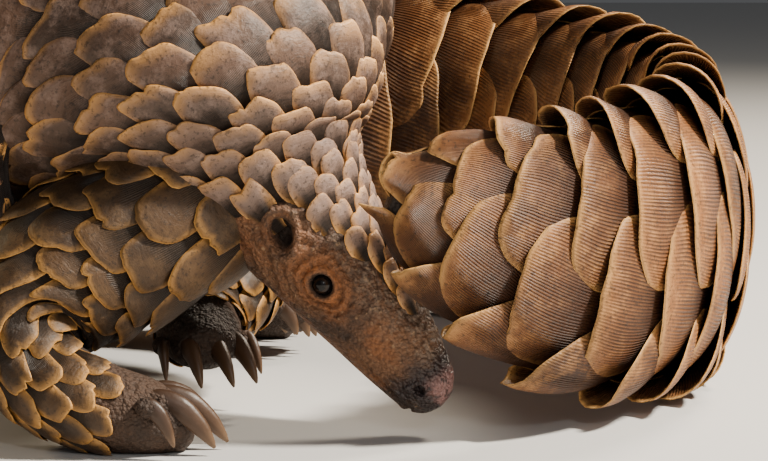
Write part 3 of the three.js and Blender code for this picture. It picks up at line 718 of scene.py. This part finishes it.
def fixNormals(piece):
    bpy.context.view_layer.objects.active = piece
    piece.select_set(True)
    bpy.ops.object.mode_set(mode="EDIT")
    bpy.ops.mesh.select_all(action="SELECT")
    bpy.ops.mesh.normals_make_consistent(inside=False)
    bpy.ops.object.mode_set(mode="OBJECT")
    piece.select_set(False)


tones = {
    "dark": (0.042, 0.019, 0.009), "brown": (0.175, 0.080, 0.036), "cheeks": (0.27, 0.095, 0.028),
    "bridge": (0.25, 0.175, 0.122), "grit": (0.37, 0.225, 0.118), "lids": (0.37, 0.120, 0.028),
    "creviceShade": (0.016, 0.009, 0.006), "nose": (0.020, 0.011, 0.011), "pads": (0.30, 0.155, 0.14),
    # limbs and underScales are painted shade: on the skin off the head, and where scales cover it
    "limbs": (0.030, 0.017, 0.010), "underScales": (0.02, 0.012, 0.008),
}


def skinFinish():
    finish = Finish("grainySkin")
    spot = finish.spot()
    layers = ("eyeTint", "noseTint", "padTint", "scaled", "headTint", "bridgeTint")
    eyeTint, noseTint, padTint, scaled, cheeks, bridge = (finish.attribute(key) for key in layers)
    broad = finish.noise(spot, 45, 4, 0.65)
    other = finish.noise(finish.vectorMath("ADD", spot, (3, 5, 7)), 70, 4, 0.6)
    fine = finish.noise(spot, 420, 4, 0.65)
    wander = finish.noise(spot, 260, 2, output="Color")
    warped = finish.vectorMath("MULTIPLY_ADD", wander, (0.0012, 0.0012, 0.0012), spot)
    grains = finish.cells(warped, 900)
    wide = finish.cells(warped, 430)
    grit = (fine * (1.2 - wide * 1.3)).step(0.42, 0.66) * (cheeks + bridge + 0.05).clamp() * 0.7
    colour = finish.layered(
        tones["dark"],
        (tones["brown"], broad.step(0.38, 0.6)),
        (tones["cheeks"], other.step(0.46, 0.66) * cheeks * 0.6),
        (tones["bridge"], bridge * fine.step(0.42, 0.62) * 0.7),
        (tones["grit"], grit),
        (tones["lids"], (eyeTint * (fine * 2.6 - 0.55)).clamp() * 0.85),
        # painted shade in the crevices between the grains
        (tones["creviceShade"], (grains * 1.7 - 0.7).clamp() * 0.6),
        (tones["nose"], noseTint * other.step(0.25, 0.42) * 0.92),
        (tones["pads"], padTint * fine.step(0.3, 0.55) * 0.85),
        # painted shade: the skin off the head, on the body, legs and feet, is darkened
        (tones["limbs"], (0.75 - (cheeks + bridge) * 2).clamp()),
        # painted shade: near black where scales cover the skin, and in the hollows of the eyes and ears
        (tones["underScales"], scaled * 0.9),
    )
    height = (grains * -0.5 + fine * 0.6 + wide * -0.6) * (1 - eyeTint * 0.4).clamp(0.2, 1) + broad * 0.7
    normal = finish.bump(height, 0.0017, 0.9)
    rough = (0.6 + broad * 0.25 - noseTint * 0.33).clamp()
    return finish.set(Base_Color=colour, Roughness=rough, Normal=normal)


skinPiece = buildSkin(skinFinish())
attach(skinPiece, "root")
flesh = ["head", "neck", "torso_front", "torso_middle", "torso_rear"]
flesh += ["tail_base", "tail_middle", "tail_bend", "tail_end"]
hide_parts(*flesh, *[node for limb in limbs.values() for node in limb["nodes"]])
print("skin", len(skinPiece.data.polygons), "faces")


# Columns of scales right round the body, so many degrees apart.
def evenColumns(count, pitch):
    return [(pitch * k, "back") for k in range(-count // 2, count // 2)]


# The tail's columns: its two edges, those between them, and those on the under side.
def tailColumns(edge, back, under):
    over = [(-edge, "edge"), *((bearing, "back") for bearing in back), (edge, "edge")]
    return over + [(bearing, "under") for bearing in under]


# Scales: columns run down the body, every other one half a scale behind the last.
scales = {
    "pitch": [
        (1.7, 9), (3, 9.3), (4, 10.3), (4.6, 10.8), (5, 10.6), (5.4, 9.8), (6.2, 10.2),
        (6.6, 14), (7.2, 21), (8, 27), (10.6, 31), (15, 29), (20, 27), (24, 17),
    ],
    "thick": [
        (1.7, 1.3), (2.5, 1.8), (4.5, 2.6), (5.5, 3.6), (7, 4.2), (8.6, 4.6), (10.6, 4.8), (20, 4.4), (24, 3),
    ],
    "underThick": 0.6,  # of the thickness on the back
    "edgeReach": [(22, 5.5), (24, 1.5)],
    # the body rolls behind the neck, and its columns lag behind that roll
    "lag": [(4.6, 0), (5, -2), (5.5, -6.5), (6, -16.5), (6.5, -25.5), (7, -33), (8, -35), (13.2, 0)],
    "crownEnd": 5.45, "girdle": 141, "firstTip": 2.1,
    "seam": (0.1, 0.12),  # how far past its first and last row a zone begins and ends
    "overrun": 1.2,
    # the rows where one zone ends and the next begins, and the columns of each
    "zoneRows": (2.05, 4.75, 7.6, 13.2, 15.2, 19.3, 24),
    "zoneColumns": (
        evenColumns(28, 12.86),
        evenColumns(26, 13.85),
        evenColumns(20, 18),
        tailColumns(84, (-54, -27, 0, 27, 54), (130, 180, 230)),
        tailColumns(80, (-37, 0, 37), (132, 180, 228)),
        tailColumns(78, (-24, 24), (145, 215)),
    ),
    "tailRoot": 13.2,
}


# Where the free tips of the even columns stand.
def tipPlaces(tube, start, end, pitchTable):
    places = [start]
    while places[-1] < end:
        places.append(places[-1] + float(ramp(pitchTable, tube.rowAt(places[-1]))))
    stretch = (end - start) / (places[-1] - start)
    even = [start + (place - start) * stretch for place in places]
    return even + [2 * even[-1] - even[-2]]


# The scales whose tips lie between two places; left and right are degrees to the next column.
def scalesBetween(tube, places, columns, lowest, highest):
    found = []
    for i in range(len(places) - 1):
        pitch = places[i + 1] - places[i]
        for c, (bearing, kind) in enumerate(columns):
            tip = places[i] + (pitch / 2 if c % 2 else 0)
            before, after = columns[c - 1][0], columns[(c + 1) % len(columns)][0]
            left, right = (bearing - before) % 360, (after - bearing) % 360
            if lowest <= tip < highest:
                left, right = (min(left, right) if turn > 60 else turn for turn in (left, right))
                found.append({"tip": tip, "row": float(tube.rowAt(tip)), "bearing": bearing, "pitch": pitch,
                              "kind": kind, "left": left, "right": right})
    return found


# The form of a plate, in shares of its length, width or lift where nothing else is said.
plateForm = {
    "halfWidth": 0.86, "widest": 0.85,
    "sunk": (0.6, 0.55),  # of the root, in millimetres and as a share of the lift
    "swell": 0.34, "drop": 0.2, "thin": 0.26,
    "bevel": (0.12, 0.08),  # at the free edge and at the sides
    "closing": (8, 0.35),  # on the tip of the tail: from how far before it, and how steeply
}


# Plates as curved shields, each a grid of points over and under. A plate runs from its root at b = 0
# to its free edge at b = 1, and from side to side as a from -1 to 1.
class Plates:
    def __init__(self, tube, found, grid, seed):
        self.tube = tube
        self.found = found
        self.across, self.along = grid
        self.rng = np.random.default_rng(seed)
        self.count = len(found)

    def get(self, key):
        return np.array([scale[key] for scale in self.found], float)[:, None, None]

    def draw(self, spread=1.0):
        return self.rng.uniform(-spread, spread, (self.count, 1, 1))

    # Where the free edge stands at each share across, as a share of the whole length.
    def edgeLine(self, a, depth, wear):
        folded = np.array([scale["kind"] == "edge" for scale in self.found])[:, None, None]
        skewed = np.clip(np.abs(a + self.draw(0.2) * (1 - a ** 2)), 0, 1)
        inner = 2.5 + self.draw(0.3) - 0.6 * folded
        outer = 2.3 + self.draw(0.2) - 0.7 * folded
        lobe = (1 - skewed ** inner) ** (1 / outer)
        line = 1 - (depth + 0.16 * folded + self.draw(0.03)) * (1 - lobe)
        flat = 1 - np.abs(self.draw(0.075)) + self.draw(0.085) * a
        line = line - np.log1p(np.exp((line - flat) * 70)) / 70
        ragged = sum(self.draw(wear / k) * np.sin(a * k + self.draw(3)) for k in (3, 6, 10, 15))
        chance = self.rng.random((self.count, 1, 1))
        worn = np.abs(self.draw(0.1)) * (chance < 0.5)
        step = worn / (1 + np.exp(-(a * np.sign(self.draw()) - 0.4) / 0.045))
        chip = np.abs(self.draw(0.07)) * (chance > 0.4) * np.exp(-((a - self.draw(0.7)) / 0.11) ** 2)
        return line + (ragged - step * 0.8 - chip) * (1 - np.abs(a) ** 6)

    def shells(self, overlap, depth, wear, slimRoot):
        form = plateForm
        a = np.sin(np.linspace(-1, 1, self.across) * math.pi / 2)[None, None, :]
        b = (1 - (1 - np.linspace(0, 1, self.along)) ** 1.4)[None, :, None]
        side = np.abs(a)
        y = b * self.edgeLine(a, depth, wear)
        widening = slimRoot + (1 - slimRoot) * smooth(0, form["widest"], b)
        width = np.where(a < 0, self.get("left"), self.get("right")) * (form["halfWidth"] + self.draw(0.04))
        bearing = self.get("bearing") + a * width * widening + self.draw(0.08) * width * y
        length = self.get("pitch") * (overlap + self.draw(0.05))
        place = self.get("tip") - length * (1 - y) + self.draw(0.04) * self.get("pitch")
        lift, reach = self.get("lift"), self.get("reach")
        sunk = form["sunk"][0] + form["sunk"][1] * lift
        over = (lift + sunk) * (0.9 * y + 0.1 * y ** 4) - sunk + reach * y ** 2 * (1 - side ** 2)
        over += form["swell"] * lift * (1 - side ** 2) * np.sin(math.pi * np.clip(y, 0, 1) ** 1.5)
        over -= form["drop"] * lift * (side ** 4 + smooth(0.86, 1, b) ** 2)
        over += self.draw(0.09) * lift * y + self.draw(0.1) * lift * y * a
        # the body's columns lag, and the last plates of the tail close on its tip
        if self.tube is spine:
            closing, steep = form["closing"]
            bearing = bearing + ramp(scales["lag"], spine.rowAt(place))
            over = over - steep * np.maximum(place - spine.length + closing, 0)
        endBevel, sideBevel = form["bevel"]
        bevel = np.sqrt(np.clip((1 - b) / endBevel, 0, 1)) * np.clip((1 - side) / sideBevel, 0, 1) ** 0.5
        under = over - form["thin"] * lift * (0.4 + 0.6 * bevel)
        top = self.tube.surface(place, bearing, over)
        bottom = self.tube.surface(place - 0.012 * length * b ** 8, bearing, under)
        whole = (self.count, self.along, self.across)
        girth = self.tube.frameAt(self.get("tip"))[..., 9] * np.radians(width)
        inward = np.minimum((1 - b) * length, (1 - side) * girth)
        row = self.get("row") if self.tube is spine else 9.0
        layers = (a * 0.5 + 0.5, b, self.rng.random((self.count, 1, 1)), inward, row)
        u, v, tint, inward, row = (np.broadcast_to(layer, whole) for layer in layers)
        return top, bottom, u, v, {"tint": tint, "inward": inward, "row": row}


# One mesh of many plates, with a map of each plate and one for baking.
def scalePiece(name, groups, shape, material):
    across, along = groups[0].across, groups[0].along
    made = [plates.shells(*shape) for plates in groups]
    top, bottom, u, v = (np.concatenate([shell[k] for shell in made]) for k in range(4))
    count, size = len(top), along * across
    points = toWorld(np.stack([top, bottom], axis=1).reshape(-1, 3))
    over = gridFaces(along, across, 0, False)
    ring = np.concatenate([
        np.arange(across),
        np.arange(2, along + 1) * across - 1,
        np.arange(size - 2, size - across - 1, -1),
        np.arange(along - 2, 0, -1) * across,
    ])
    following = np.roll(ring, -1)
    wall = np.stack([following, ring, ring + size, following + size], axis=1)
    plate = np.concatenate([over, over[:, ::-1] + size, wall])
    faces = (plate[None] + (np.arange(count) * 2 * size)[:, None, None]).reshape(-1, 4)
    piece = meshPiece(name, points, faces, material)
    for key in made[0][4]:
        flat = np.concatenate([shell[4][key].reshape(-1, size) for shell in made])
        addAttribute(piece, key, np.concatenate([flat, flat], axis=1).ravel())
    u, v = u.reshape(count, size), v.reshape(count, size)
    addUv(piece, "plate", np.stack([np.hstack([u, u]), np.hstack([v, v])], axis=-1).reshape(-1, 2))
    # each plate has its own cell of the map for baking
    cells = math.ceil(math.sqrt(count))
    row, column = np.divmod(np.arange(count)[:, None], cells)
    cellU = np.hstack([u, u]) * 0.92 + 0.04
    cellV = np.hstack([0.26 + v * 0.7, 0.04 + v * 0.16])
    baked = np.stack([(column + cellU) / cells, (row + cellV) / cells], axis=-1)
    addUv(piece, "OFBake", baked.reshape(-1, 2))
    fixNormals(piece)
    return piece


# Horn of each kind: its slot and colours, how many ridges run along a plate and where they end,
# how deep they are, and how strongly rings of growth cross them.
# Each horn's rim colour is a painted glow of light through the thin edge of a plate.
horn = {
    "trunk": {
        "slot": "body_scale", "ridges": 46, "ridgeEnd": 0.66, "ridgeDepth": 0.38, "rings": 0.25,
        "dark": (0.013, 0.007, 0.004), "middle": (0.104, 0.052, 0.029),
        "pale": (0.300, 0.200, 0.158), "rim": (0.95, 0.46, 0.12),
    },
    "tail": {
        "slot": "tail_scale", "ridges": 54, "ridgeEnd": 0.9, "ridgeDepth": 0.9, "rings": 0.06,
        "dark": (0.036, 0.011, 0.003), "middle": (0.25, 0.090, 0.024),
        "pale": (0.53, 0.250, 0.085), "rim": (0.95, 0.53, 0.17),
    },
    # the limbs' horn is the trunk's horn made darker: painted shade over the legs
    "limb": {
        "slot": "body_scale", "ridges": 30, "ridgeEnd": 0.66, "ridgeDepth": 0.38, "rings": 0.2,
        "dark": (0.013, 0.006, 0.002), "middle": (0.074, 0.037, 0.014),
        "pale": (0.150, 0.084, 0.036), "rim": (0.85, 0.42, 0.10),
    },
}
grime = (0.012, 0.008, 0.005)


# Ridges run from the root of a plate towards its free edge, and its thin rim has a painted orange glow, as if
# lit through from behind.
def hornFinish(kind, look):
    finish = Finish(f"{kind}Horn")
    spot = finish.spot()
    plate = finish.node("ShaderNodeUVMap", {"uv_map": "plate"})
    u, v = (finish.node("ShaderNodeSeparateXYZ", sockets={0: plate}, output=k) for k in (0, 1))
    tint, inward, row = (finish.attribute(key) for key in ("tint", "inward", "row"))
    broad = finish.noise(spot, 34, 4, 0.6)
    patch = finish.noise(spot, 130, 5, 0.7)
    fine = finish.noise(spot, 800, 3, 0.65)
    waver = finish.noise(finish.joined(u * 7 + tint * 31, v * 0.9, tint * 7), 1.0, 2, 0.5, "2D")
    growth = finish.noise(finish.joined(v * 24 + tint * 19, u * 2.0, tint), 1.0, 3, 0.6, "2D")
    wave = (u * (0.8 + v * 0.2) * look["ridges"] + waver * 0.9 + tint * 9) * math.tau
    ridge = wave.math("SINE") * 0.5 + 0.5
    fading = (v + broad * 0.3).step(look["ridgeEnd"], look["ridgeEnd"] + 0.28)
    strength = (1 - fading) * (waver * 1.8 - 0.1).clamp(0.4, 1)
    onCrown = (1 - row.step(4.3, 6.6)) * 0.7
    # painted shade: darker towards the covered root of each plate
    root = (1 - v.step(0.42, 0.82)) * 0.9
    paintedRimGlow = (1 - (inward + patch * 1.5).step(0.3, 4.0)) * (broad * 2.4 - 0.72).clamp(0, 0.7)
    colour = finish.layered(
        look["dark"],
        (look["middle"], (broad * 1.9 + tint * 0.8 - 0.7).clamp()),
        (look["pale"], (onCrown + patch.step(0.45, 0.68) * 0.5 + v.step(0.7, 1) * 0.15).clamp()),
        # painted shade in the grooves between the ridges
        (look["dark"], ((1 - ridge) * strength * 0.8).clamp()),
        # painted shade at the root; the rings of growth are the horn's own colour
        (look["dark"], (root + growth.step(0.5, 0.75) * look["rings"]).clamp()),
        # painted light: a soft orange glow near the free edge and a thin bright line on it, as if lit through
        # from behind
        (look["rim"], paintedRimGlow * 0.8),
        (look["rim"], (1 - (inward + patch * 0.6).step(0.3, 0.95)) * (broad * 2.6 - 0.7).clamp(0.06, 1)),
        (grime, fine.step(0.53, 0.68) * 0.6),
    )
    height = ridge * strength * look["ridgeDepth"] + growth * look["rings"] + patch * 0.7 + fine * 0.18
    normal = finish.bump(height, 0.0009, 0.9)
    rough = (0.3 + patch * 0.35 + fine * 0.1).clamp(0.2, 0.95)
    return finish.set(Base_Color=colour, Roughness=rough, Specular_IOR_Level=0.38, Normal=normal)


# A plate's lift over the skin at its tip, and how far one of the tail's edges stands out.
def bodyHeight(scale):
    thick = float(ramp(scales["thick"], scale["row"]))
    if scale["kind"] == "edge":
        return thick, float(ramp(scales["edgeReach"], scale["row"]))
    return thick * (scales["underThick"] if scale["kind"] == "under" else 1), 0.0


# Scales leave the face, the throat and the belly bare.
def onBack(scale):
    turn = scale["bearing"] + ramp(scales["lag"], scale["row"])
    onCrown = scale["row"] < scales["crownEnd"]
    limit = ramp(body["crown"], scale["row"]) if onCrown else scales["girdle"]
    return scale["row"] > scales["tailRoot"] or abs(halfTurn(turn)) <= limit


def zoneScales(zone):
    start, end = scales["zoneRows"][zone:zone + 2]
    atTip = end == scales["zoneRows"][-1]
    before, past = scales["seam"]
    first = spine.placeAt(max(start - 1, scales["firstTip"]))
    last = spine.length - 2 if atTip else spine.placeAt(end + scales["overrun"])
    places = tipPlaces(spine, first, last, scales["pitch"])
    lowest = spine.placeAt(start + (before if zone else 0))
    highest = spine.length + spine.margin if atTip else spine.placeAt(end + past)
    found = scalesBetween(spine, places, scales["zoneColumns"][zone], lowest, highest)
    for scale in found:
        scale["lift"], scale["reach"] = bodyHeight(scale)
    return list(filter(onBack, found))


limbScales = {
    "pitch": [(0, 24), (2, 20), (4, 13), (6, 9)],
    "thick": [(0, 3.4), (4, 2.1), (6, 1.5)],
    "cuff": 9,  # how far past the wrist or heel they go
    "overrun": 12, "turn": 24,
}


def limbPlates(name, grid, seed):
    tube = limbs[name]["tube"]
    wrist = tube.placeAt(limbs[name]["wrist"]) + limbScales["cuff"]
    low, high = limbs[name]["bare"]
    places = tipPlaces(tube, 0, wrist, limbScales["pitch"])
    columns = [(bearing, "back") for bearing in range(0, 360, limbScales["turn"])]
    found = scalesBetween(tube, places, columns, places[1] - 1, wrist + limbScales["overrun"])
    found = [scale for scale in found if not (low < scale["bearing"] < high or low < scale["bearing"] - 360)]
    for scale in found:
        scale["lift"], scale["reach"] = float(ramp(limbScales["thick"], scale["row"])), 0.0
    return Plates(tube, found, grid, seed)


# The coat: each piece's horn, its zones or limbs, points across and along a plate, first seed, and
# the shape: length over pitch, depth of the lobe, wear of the edge and width at the root.
coat = {
    "crownScales": ("trunk", (0,), (19, 11), 10, (1.74, 0.36, 0.08, 0.5)),
    "napeScales": ("trunk", (1,), (27, 12), 11, (1.76, 0.35, 0.1, 0.5)),
    "trunkScales": ("trunk", (2,), (25, 12), 12, (1.76, 0.35, 0.1, 0.5)),
    "tailScales": ("tail", (3, 4, 5), (25, 13), 13, (1.82, 0.35, 0.08, 0.62)),
    "forelegScales": ("limb", ("foreRight", "foreLeft"), (19, 11), 41, (1.78, 0.36, 0.09, 0.5)),
    "hindlegScales": ("limb", ("hindRight", "hindLeft"), (19, 11), 51, (1.78, 0.36, 0.09, 0.5)),
}
finishes = {kind: hornFinish(kind, look) for kind, look in horn.items()}
for name, (kind, parts, grid, seed, shape) in coat.items():
    if kind == "limb":
        groups = [limbPlates(limb, grid, seed + k) for k, limb in enumerate(parts)]
    else:
        found = [scale for zone in parts for scale in zoneScales(zone)]
        groups = [Plates(spine, found, grid, seed)]
    piece = scalePiece(name, groups, shape, finishes[kind])
    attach(piece, "root")
    print(name, sum(plates.count for plates in groups), "scales,", len(piece.data.polygons), "faces")


# Claws: curved horn spikes, flattened at the sides; wide and tall are shares of a claw's size.
claws = {
    "rings": 22, "sides": 18, "start": -0.2, "wide": 0.68, "tall": 0.98,
    "profile": [(-0.2, 0.9), (0, 0.98), (0.4, 0.92), (0.75, 0.62), (0.93, 0.32), (1.0, 0.1)],
}


def buildClaws(material):
    t = np.linspace(claws["start"], 1, claws["rings"])
    girth = ramp(claws["profile"], t)
    shells = []
    for limb in limbs.values():
        for path in clawPaths(limb["claws"]):
            wide, tall = (path["size"] * girth * claws[key] for key in ("wide", "tall"))
            shells.append(ringsAlong(clawPoint(path, t), wide, tall, claws["sides"]))
    points, faces = closedShells(shells)
    piece = meshPiece("claws", toWorld(points), faces, material)
    addAttribute(piece, "lengthwise", [*np.repeat(t, claws["sides"]), 0, 1] * len(shells))
    fixNormals(piece)
    return piece


def clawFinish():
    finish = Finish("clawHorn")
    spot = finish.spot()
    lengthwise = finish.attribute("lengthwise")
    grain = finish.noise(spot, 240, 4, 0.6)
    broad = finish.noise(spot, 60, 3)
    colour = finish.layered(
        (0.034, 0.016, 0.008),
        ((0.112, 0.056, 0.026), (lengthwise * 0.8 + broad * 0.6 - 0.25).clamp()),
        ((0.22, 0.13, 0.066), lengthwise.step(0.75, 1.0) * 0.6),
    )
    normal = finish.bump(grain, 0.0005, 0.5)
    return finish.set(Base_Color=colour, Roughness=0.34 + grain * 0.2, Normal=normal)


clawPiece = buildClaws(clawFinish())
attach(clawPiece, "root")
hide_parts(*[f"{limb['nodes'][1]}_claw_{k}" for limb in limbs.values() for k in range(1, 6)])
print("claws made")


# Eyes: a dark ball, a touch smaller than the CAD's, with a raised, wet cornea.
eyes = {
    "segments": 48, "rings": 32, "snug": 0.985, "cornea": 0.03, "corneaEdge": (0.78, 0.95),
    "outward": 5,  # millimetres over the skin, where an eye looks
}


def buildEye(side, centre, material):
    target = spine.surface(eyeSpot["place"], eyeSpot["bearing"] * hands[side], eyes["outward"])
    outward = Vector(unit(target - centre))
    radius = eyeSpot["radius"] * millimetre * eyes["snug"]
    bpy.ops.mesh.primitive_uv_sphere_add(segments=eyes["segments"], ring_count=eyes["rings"], radius=radius)
    piece = bpy.context.object
    piece.name = f"eye{side.capitalize()}"
    facing = [vertex.co.normalized().dot(outward) for vertex in piece.data.vertices]
    for vertex, value in zip(piece.data.vertices, facing):
        swell = 1 + eyes["cornea"] * float(smooth(*eyes["corneaEdge"], value))
        vertex.co = vertex.co * swell + Vector(toWorld(centre))
    piece.data.shade_smooth()
    piece.data.materials.append(material)
    addAttribute(piece, "facing", facing)
    piece.select_set(False)
    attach(piece, "root")
    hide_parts(f"eye_{side}")


def eyeFinish():
    finish = Finish("wetEye")
    facing = finish.attribute("facing")
    iris = facing.step(0.70, 0.78) * (1 - facing.step(0.86, 0.9))
    colour = finish.mixColour((0.006, 0.004, 0.004), (0.022, 0.011, 0.006), iris)
    gloss = {"Specular_IOR_Level": 0.22, "Coat_Weight": 0.1, "Coat_Roughness": 0.02}
    return finish.set(Base_Color=colour, Roughness=0.07, **gloss)


wetEye = eyeFinish()
for side, centre in eyeCentres.items():
    buildEye(side, centre, wetEye)
print("eyes made")
